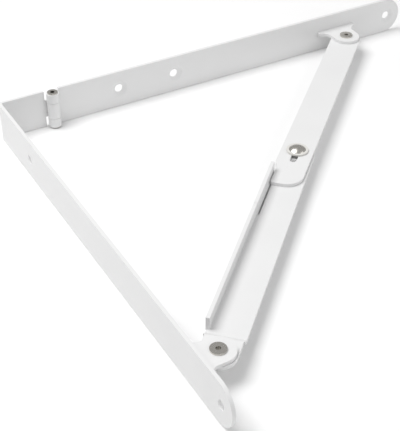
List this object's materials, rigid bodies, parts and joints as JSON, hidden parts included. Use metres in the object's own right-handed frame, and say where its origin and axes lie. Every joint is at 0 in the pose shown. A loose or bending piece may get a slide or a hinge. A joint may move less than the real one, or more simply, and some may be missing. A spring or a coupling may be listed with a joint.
{
  "type": "folding shelf bracket",
  "caption": "Folding shelf bracket: a wall leaf and a shelf arm hinged together, held square by a riveted two-link stay with a slotted lift-to-release knee.",
  "frame": {"origin": "on the wall face of the wall leaf, level with the hinge pin, at mid width of the strip", "axes": "+X out from the wall along the shelf arm, -Y down the wall leg, +Z across the strip width"},
  "size_m": [0.306, 0.2829, 0.025],
  "materials": {
    "white_paint": "semi-gloss white powder coat",
    "nickel": "bright nickel plate",
    "pale_washer": "pale satin"
  },
  "bodies": {
    "wall": {"wall_leaf": "white_paint", "wall_lug": "white_paint", "wall_pivot_rivet": "nickel", "hinge_pin": "nickel"},
    "arm": {"shelf_arm": "white_paint", "arm_lug": "white_paint", "arm_pivot_rivet": "nickel"},
    "upper_link": {"upper_link": "white_paint"},
    "knee": {"knee_rivet": "nickel", "knee_collar": "pale_washer"},
    "lower_link": {"lower_link": "white_paint"}
  },
  "joints": [
    {"name": "arm_fold", "type": "hinge", "parent": "wall", "child": "arm", "pos_m": [0.0348, 0, 0], "axis": [0, 0, 1], "range_deg": [-90, 0]},
    {"name": "lower_link_swing", "type": "hinge", "parent": "wall", "child": "lower_link", "pos_m": [0.01575, -0.23915, 0], "axis": [0, 0, 1], "range_deg": [0, 45.4]},
    {"name": "upper_link_swing", "type": "hinge", "parent": "arm", "child": "upper_link", "pos_m": [0.25, -0.0117, 0], "axis": [0, 0, 1], "range_deg": [-44.9, 0]},
    {"name": "knee_slide", "type": "slide", "parent": "upper_link", "child": "knee", "axis": [-0.7254, -0.6884, 0], "range_m": [0, 0.0106]}
  ],
  "couplings": [
    {"joint": "lower_link_swing", "follows": "arm_fold", "ratio": -0.50333},
    {"joint": "upper_link_swing", "follows": "arm_fold", "ratio": 0.49778},
    {"joint": "knee_slide", "follows": "arm_fold", "m_per_rad": -0.003565}
  ]
}
